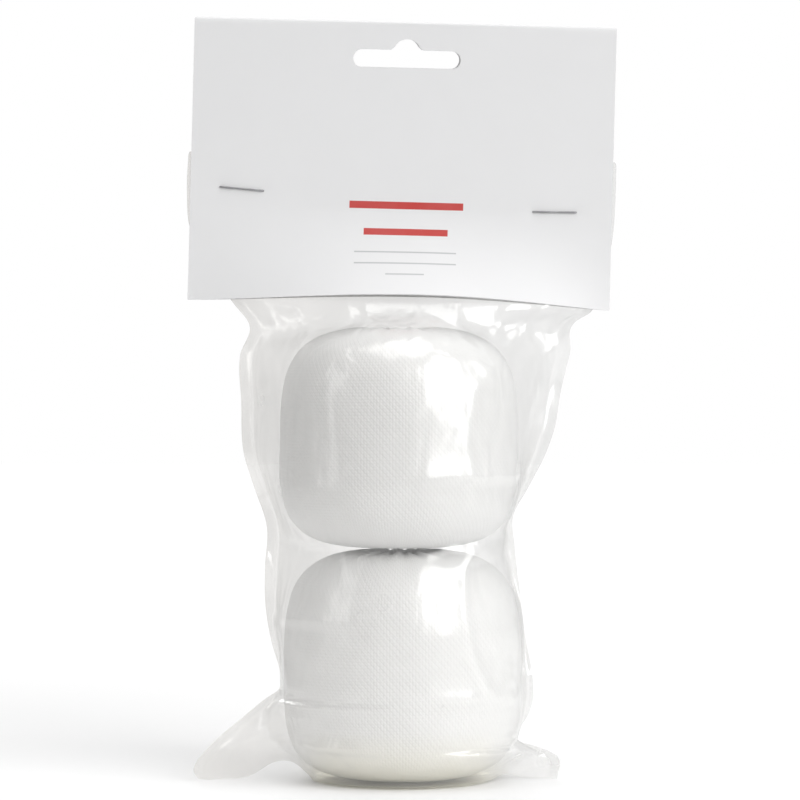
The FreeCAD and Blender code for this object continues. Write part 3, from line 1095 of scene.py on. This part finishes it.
def lift_ears(ply):
    """Raises the lower edges of the ears to the curve that the base fold makes."""
    x = ply[:, :, 0] / MM
    z = ply[:, :, 2]
    lift = (
        4.2 * np.exp(-(((x + 31.5) / 5.0) ** 2)) * (x < -26)
        + 3.2 * np.exp(-(((x + 37.5) / 4.5) ** 2))
        + 0.8 * smoothstep(-x, 55, 59.5)
        + 1.2 * np.exp(-(((x - 29) / 3.0) ** 2))
    ) * MM
    lift = np.where(np.abs(x) < 24, 0, lift)
    share = np.clip(1 - z / (14 * MM), 0, 1)
    ply[:, :, 2] = z + lift * share


def settle(plies, strip):
    """Lets both plies go slack: each keeps a little more length than it lies on, and the balls push back."""
    film = bpy.context.scene.chalk_film
    start = plies.copy()
    points = plies.copy()
    rows, columns = points.shape[1:3]
    free = np.ones((2, rows, columns, 1))
    free[:, :25] = 0
    free[:, -7:] = 0
    free[:, :, :strip] = 0
    free[:, :, -strip:] = 0
    flat = start.reshape(-1, 3) * np.array([1, 3, 0.6])
    loose = (0.55 + 0.45 * ripple(flat, 45 * MM, 3)).clip(0.05, 1.2).reshape(2, rows, columns, 1)
    nudge = ripple(flat, 13 * MM, 8).reshape(2, rows, columns) * 0.35 * MM
    outward = np.array([-1.0, 1.0])[:, None, None]
    points[..., 1] += nudge * free[..., 0] * outward
    links = []
    for down, across, stiff in ((0, 1, 1.0), (1, 0, 1.0), (1, 1, 0.5), (1, -1, 0.5)):
        first = (slice(None), slice(0, rows - down), slice(max(0, -across), columns - max(0, across)))
        second = (slice(None), slice(down, rows), slice(max(0, across), columns + min(0, across)))
        length = np.linalg.norm(start[second] - start[first], axis=-1, keepdims=True)
        share = film.slack * (1.0 if down == 0 else 0.6)
        links.append((first, second, length * (1 + share * loose[first]), stiff))

    def bend(grid):
        out = np.zeros_like(grid)
        out[:, 1:-1, 1:-1] = (
            grid[:, :-2, 1:-1] + grid[:, 2:, 1:-1] + grid[:, 1:-1, :-2] + grid[:, 1:-1, 2:]
        ) / 4 - grid[:, 1:-1, 1:-1]
        return out

    rest_bend = bend(start)
    for _ in range(320):
        move = np.zeros_like(points)
        for first, second, length, stiff in links:
            gap = points[second] - points[first]
            size = np.linalg.norm(gap, axis=-1, keepdims=True) + 1e-9
            pull = gap * (0.5 * stiff * (1 - length / size))
            move[first] += pull
            move[second] -= pull
        move = move * 0.42 + (bend(points) - rest_bend) * 0.16
        points += move * free
        away = points - start
        reach = np.linalg.norm(away, axis=-1, keepdims=True)
        points = start + away * np.minimum(1, 3.2 * MM / (reach + 1e-9))
        keep_out(points, 1.0 * MM)
    points[0, ..., 1] = np.minimum(points[0, ..., 1], -0.06 * MM)
    points[1, ..., 1] = np.maximum(points[1, ..., 1], 0.06 * MM)
    return points


def keep_out(points, clear):
    """Pushes points out of the balls."""
    settings = bpy.context.scene.chalk_ball
    for _, bottom, height, middle in (LOWER_BALL, UPPER_BALL):
        above = points[..., 2] - bottom - height / 2
        level = above / np.where(above > 0, height / 2 + clear, height / 2)
        square = np.where(level < 0, settings.base_squareness, settings.top_squareness)
        held = settings.radius * (1 - np.clip(np.abs(level), 0, 1) ** square) ** (1 / square) + clear
        held = np.where(np.abs(level) < 1, held, 0)
        away = np.hypot(points[..., 0] - middle, points[..., 1]) + 1e-9
        grow = np.maximum(held / away, 1)
        points[..., 0] = middle + (points[..., 0] - middle) * grow
        points[..., 1] *= grow


# Folds pressed into the front ply: places across and up, then height and width, in millimetres.
FOLDS = (
    (((-28, 136), (-30, 132), (-19, 122), (-14, 117)), 0.9, 1.3),
    (((41, 136), (31, 124), (19.5, 110), (18, 95), (20.5, 79)), 1.2, 1.7),
    (((50, 131), (41, 120), (36, 107), (34, 92)), 1.0, 1.8),
    (((24, 70), (17.5, 61), (17.2, 50), (19.2, 39), (24, 28)), 0.9, 1.4),
    (((-36, 118), (-33, 104), (-34, 88)), 0.9, 1.6),
    (((-8.6, 6.5), (-1.5, 12.2)), 0.6, 0.9),
    (((3, 129), (9, 122), (22, 118)), 0.7, 1.2),
    (((-34, 20), (-41, 13), (-50, 8)), 0.8, 1.3),
    (((24, 12), (30, 7), (38, 5)), 0.7, 1.2),
    (((-20, 70), (-10, 66.5), (4, 66), (18, 69)), -0.5, 1.5),
    (((-44, 134), (-40, 126), (-38, 112)), 1.0, 1.4),
    (((-10, 134), (-8, 128), (-2, 124)), 0.9, 1.1),
    (((4, 135), (5, 130), (3, 125)), 0.7, 1.0),
    (((16, 135), (15, 129), (20, 121), (27, 113)), 1.1, 1.4),
    (((30, 135), (27, 129), (26, 122)), 0.9, 1.2),
    (((-39, 64), (-36, 52), (-35, 38)), 0.7, 1.3),
    (((35, 30), (31, 22), (30, 14)), 0.8, 1.2),
)


def press_folds(points):
    """Adds the creases to both plies; the back gets them mirrored and fainter."""
    for ply, side, share in ((0, 1, 1.0), (1, -1, 0.7)):
        x = points[ply, ..., 0] / MM * side
        z = points[ply, ..., 2] / MM
        total = np.zeros_like(x)
        for line, height, width in FOLDS:
            near = np.full(x.shape, 1e9)
            for (x0, z0), (x1, z1) in zip(line[:-1], line[1:]):
                run = (x1 - x0) ** 2 + (z1 - z0) ** 2
                t = np.clip(((x - x0) * (x1 - x0) + (z - z0) * (z1 - z0)) / run, 0, 1)
                away = np.hypot(x - x0 - t * (x1 - x0), z - z0 - t * (z1 - z0))
                near = np.minimum(near, away)
            total += height * np.exp(-((near / width) ** 2))
        points[ply, ..., 1] += total * MM * share * (-1 if ply == 0 else 1)


def sway_edges(points):
    """The welded edges wave to and fro, and the ears curl a little."""
    x = points[..., 0] / MM
    z = points[..., 2] / MM
    edge = np.clip((np.abs(x) - 24) / 20, 0, 1) ** 1.5
    side = np.where(x < 0, 0.0, 2.1)
    wave = 1.5 * np.sin(z / 9.5 + side) + 0.8 * np.sin(z / 4.1 + 1.3 + 2 * side)
    held = smoothstep(z, 14, 34) * (1 - smoothstep(z, 112, 130))
    points[..., 1] += wave * edge * held * MM
    curl_left = np.clip((-x - 36) / 23, 0, 1) ** 2 * (z < 30)
    curl_right = np.clip((x - 33) / 12, 0, 1) ** 2 * (z < 14)
    points[..., 1] -= (7.0 * curl_left + 3.0 * curl_right) * MM


def film_material():
    """Clear film: lets nearly all through, with a faint uneven haze, sharp crinkled gloss, painted shade
    towards its left side and a painted warm reflection at its base.
    """
    settings = bpy.context.scene.chalk_film
    material, tree, shader = new_material("clear_film")
    output = tree.nodes["Material Output"]
    coordinate = add_node(tree, "ShaderNodeTexCoord")
    place = coordinate.outputs["Object"]
    mapping = add_node(tree, "ShaderNodeMapping")
    mapping.inputs["Scale"].default_value = (1.0, 1.0, 0.45)
    tree.links.new(place, mapping.inputs["Vector"])
    folds = noise(tree, mapping.outputs["Vector"], 95.0, 2.0, 0.45, 0.6)
    fine = noise(tree, mapping.outputs["Vector"], 420.0, 2.0, 0.5, 0.3)
    patch = noise(tree, place, 38.0, 3.0, 0.55)
    shader.inputs["Base Color"].default_value = (*settings.veil, 1)
    rough = plus(tree, times(tree, patch, 0.22), 0.12, clamp=True)
    tree.links.new(rough, shader.inputs["Roughness"])
    shader.inputs["IOR"].default_value = 1.5
    shader.inputs["Specular IOR Level"].default_value = 0.9
    first = bump(tree, folds, 0.5, 0.0022)
    second = bump(tree, fine, 0.25, 0.0004, before=first)
    tree.links.new(second, shader.inputs["Normal"])
    shader.inputs["Metallic"].default_value = 0.55
    spot = add_node(tree, "ShaderNodeSeparateXYZ")
    tree.links.new(place, spot.inputs[0])
    # painted shade: the film's tint darkens towards its left side (object x), where less light falls
    side = plus(tree, times(tree, spot.outputs[0], 8.0), 0.5, clamp=True)
    clear = add_node(tree, "ShaderNodeBsdfTransparent")
    shaded_left_tint = tuple(level * share for level, share in zip(settings.tint, (0.962, 0.954, 0.944)))
    # painted warm reflection of the stand beneath: the film's tint turns yellow at the base under the lower
    # ball
    low = times(tree, minus(tree, 0.017, spot.outputs[2]), 55.0, clamp=True)
    centre = math_node(tree, "ABSOLUTE", spot.outputs[0])
    centre = times(tree, minus(tree, 0.031, centre), 110.0, clamp=True)
    low = times(tree, low, centre)
    even = mix_colour(tree, side, shaded_left_tint, settings.tint)
    tree.links.new(mix_colour(tree, low, even, (0.985, 0.965, 0.88)), clear.inputs["Color"])
    facing = add_node(tree, "ShaderNodeLayerWeight", Blend=0.25)
    tree.links.new(first, facing.inputs["Normal"])
    edge = times(tree, facing.outputs["Facing"], 0.60)
    haze = times(tree, minus(tree, patch, 0.35, clamp=True), 0.16)
    split = add_node(tree, "ShaderNodeSeparateXYZ")
    tree.links.new(coordinate.outputs["UV"], split.inputs[0])
    across = math_node(tree, "FRACT", times(tree, split.outputs[0], 2.0))
    rim = math_node(tree, "ABSOLUTE", minus(tree, across, 0.49))
    weld = times(tree, minus(tree, rim, 0.452), 60.0, clamp=True)
    extra = plus(tree, haze, times(tree, weld, 0.10))
    solid = plus(tree, plus(tree, edge, extra), 0.13, clamp=True)
    mixer = add_node(tree, "ShaderNodeMixShader")
    tree.links.new(solid, mixer.inputs[0])
    tree.links.new(clear.outputs[0], mixer.inputs[1])
    tree.links.new(shader.outputs[0], mixer.inputs[2])
    tree.links.new(mixer.outputs[0], output.inputs["Surface"])
    return material


class CHALKPACK_OT_film(bpy.types.Operator):
    """Make the clear film bag round the balls and up between the card's panels"""

    bl_idname = "chalkpack.film"
    bl_label = "Film bag"

    def execute(self, context):
        bag = make_film()
        bag.data.materials.append(film_material())
        bag.data.shade_smooth()
        fine = bag.modifiers.new("fine", "SUBSURF")
        fine.levels = fine.render_levels = 1
        apply_modifiers(bag)
        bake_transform(bag)
        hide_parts("bag_film", "bag_mouth")
        return {"FINISHED"}


# ---------------------------------------------------------------- stage
def floor_material():
    """Plain white floor that keeps the shadow and reads as white to the camera."""
    material, tree, shader = new_material("pale_floor")
    place = add_node(tree, "ShaderNodeTexCoord").outputs["Object"]
    grain = noise(tree, place, 300.0, 2.0, 0.5)
    colour = mix_colour(tree, grain, (0.88, 0.88, 0.88), (0.90, 0.90, 0.90))
    shader.inputs["Roughness"].default_value = 0.9
    shader.inputs["Specular IOR Level"].default_value = 0.1
    shader.inputs["Emission Color"].default_value = (1, 1, 1, 1)
    length = tree.nodes.new("ShaderNodeVectorMath")
    length.operation = "LENGTH"
    tree.links.new(place, length.inputs[0])
    away = times(tree, minus(tree, length.outputs["Value"], 0.16), 1.8, clamp=True)
    tree.links.new(mix_colour(tree, away, colour, (0.0, 0.0, 0.0)), shader.inputs["Base Color"])
    glow = plus(tree, times(tree, away, 0.98), 0.04)
    path = add_node(tree, "ShaderNodeLightPath")
    seen = math_node(tree, "MAXIMUM", path.outputs["Is Camera Ray"], path.outputs["Is Transmission Ray"])
    seen = math_node(tree, "MAXIMUM", seen, times(tree, path.outputs["Is Glossy Ray"], 0.6))
    tree.links.new(times(tree, seen, glow), shader.inputs["Emission Strength"])
    return material


def soft_lamp(name, size, power, place, target):
    lamp = bpy.data.lights.new(name, "AREA")
    lamp.shape = "RECTANGLE"
    lamp.size, lamp.size_y = size
    lamp.energy = power
    thing = bpy.data.objects.new(name, lamp)
    thing.location = place
    thing.rotation_euler = (Vector(target) - Vector(place)).to_track_quat("-Z", "Y").to_euler()
    bpy.context.scene.collection.objects.link(thing)
    return thing


def make_world(strength):
    world = bpy.data.worlds.new("studio")
    bpy.context.scene.world = world
    world.use_nodes = True
    tree = world.node_tree
    background = tree.nodes["Background"]
    path = tree.nodes.new("ShaderNodeLightPath")
    seen = math_node(
        tree, "MAXIMUM", path.outputs["Is Camera Ray"],
        math_node(
            tree, "MAXIMUM", path.outputs["Is Transmission Ray"],
            times(tree, path.outputs["Is Glossy Ray"], 0.2)
        ),
    )
    level = math_node(
        tree, "ADD", times(tree, seen, 1.0),
        times(tree, minus(tree, 1.0, seen), strength),
    )
    background.inputs["Color"].default_value = (1, 1, 1, 1)
    tree.links.new(level, background.inputs["Strength"])


class CHALKPACK_OT_stage(bpy.types.Operator):
    """Make the floor, the lamps, the surroundings and the camera"""

    bl_idname = "chalkpack.stage"
    bl_label = "Stage"

    def execute(self, context):
        scene = context.scene
        settings = scene.chalk_stage
        half = 3.0
        steps = 13
        ticks = np.linspace(-half, half, steps)
        points = [(x, y, 0.0) for y in ticks for x in ticks]
        floor = new_object("floor", points, grid_faces(steps, steps))
        floor.data.materials.append(floor_material())
        make_world(settings.fill)
        middle = (0, 0, 0.10)
        soft_lamp("key_lamp", (1.1, 1.1), settings.key, (0.95, -0.98, 0.70), middle)
        soft_lamp("top_lamp", (0.6, 0.5), settings.top, (0.05, -0.10, 0.85), middle)
        soft_lamp("back_lamp", (1.2, 0.9), settings.back, (-0.35, 1.35, 0.75), middle)
        soft_lamp("edge_lamp", (0.16, 0.6), 0.35, (-0.60, -0.30, 0.30), middle)
        camera = bpy.data.objects.new("camera", bpy.data.cameras.new("camera"))
        scene.collection.objects.link(camera)
        camera.data.lens = settings.lens
        camera.data.sensor_width = 36
        aim = Vector((settings.aim_x, 0, settings.aim_z))
        back = Vector((0, -math.cos(settings.elevation), math.sin(settings.elevation)))
        camera.location = aim + back * settings.distance
        camera.rotation_euler = (-back).to_track_quat("-Z", "Y").to_euler()
        scene.camera = camera
        scene.view_settings.view_transform = "Standard"
        return {"FINISHED"}


class CHALKPACK_PT_panel(bpy.types.Panel):
    bl_label = "Chalk Pack"
    bl_idname = "CHALKPACK_PT_panel"
    bl_space_type = "VIEW_3D"
    bl_region_type = "UI"
    bl_category = "Chalk Pack"

    def draw(self, context):
        for operator in OPERATORS:
            self.layout.operator(operator.bl_idname)
        for group in ("chalk_card", "chalk_ball", "chalk_film", "chalk_stage"):
            box = self.layout.box()
            settings = getattr(context.scene, group)
            for name in settings.__annotations__:
                box.prop(settings, name)


GROUPS = {
    "chalk_card": CardSettings,
    "chalk_ball": BallSettings,
    "chalk_film": FilmSettings,
    "chalk_stage": StageSettings,
}
OPERATORS = (
    CHALKPACK_OT_covers,
    CHALKPACK_OT_chalk,
    CHALKPACK_OT_ties,
    CHALKPACK_OT_card,
    CHALKPACK_OT_staples,
    CHALKPACK_OT_film,
    CHALKPACK_OT_stage,
)


def register():
    for cls in (*GROUPS.values(), *OPERATORS, CHALKPACK_PT_panel):
        bpy.utils.register_class(cls)
    for name, cls in GROUPS.items():
        setattr(bpy.types.Scene, name, PointerProperty(type=cls))


def unregister():
    for name in GROUPS:
        delattr(bpy.types.Scene, name)
    for cls in (CHALKPACK_PT_panel, *OPERATORS, *GROUPS.values()):
        bpy.utils.unregister_class(cls)


def main():
    register()
    bpy.ops.chalkpack.covers()
    bpy.ops.chalkpack.chalk()
    bpy.ops.chalkpack.ties()
    bpy.ops.chalkpack.card()
    bpy.ops.chalkpack.staples()
    bpy.ops.chalkpack.film()
    bpy.ops.chalkpack.stage()


if __name__ == "__main__":
    main()
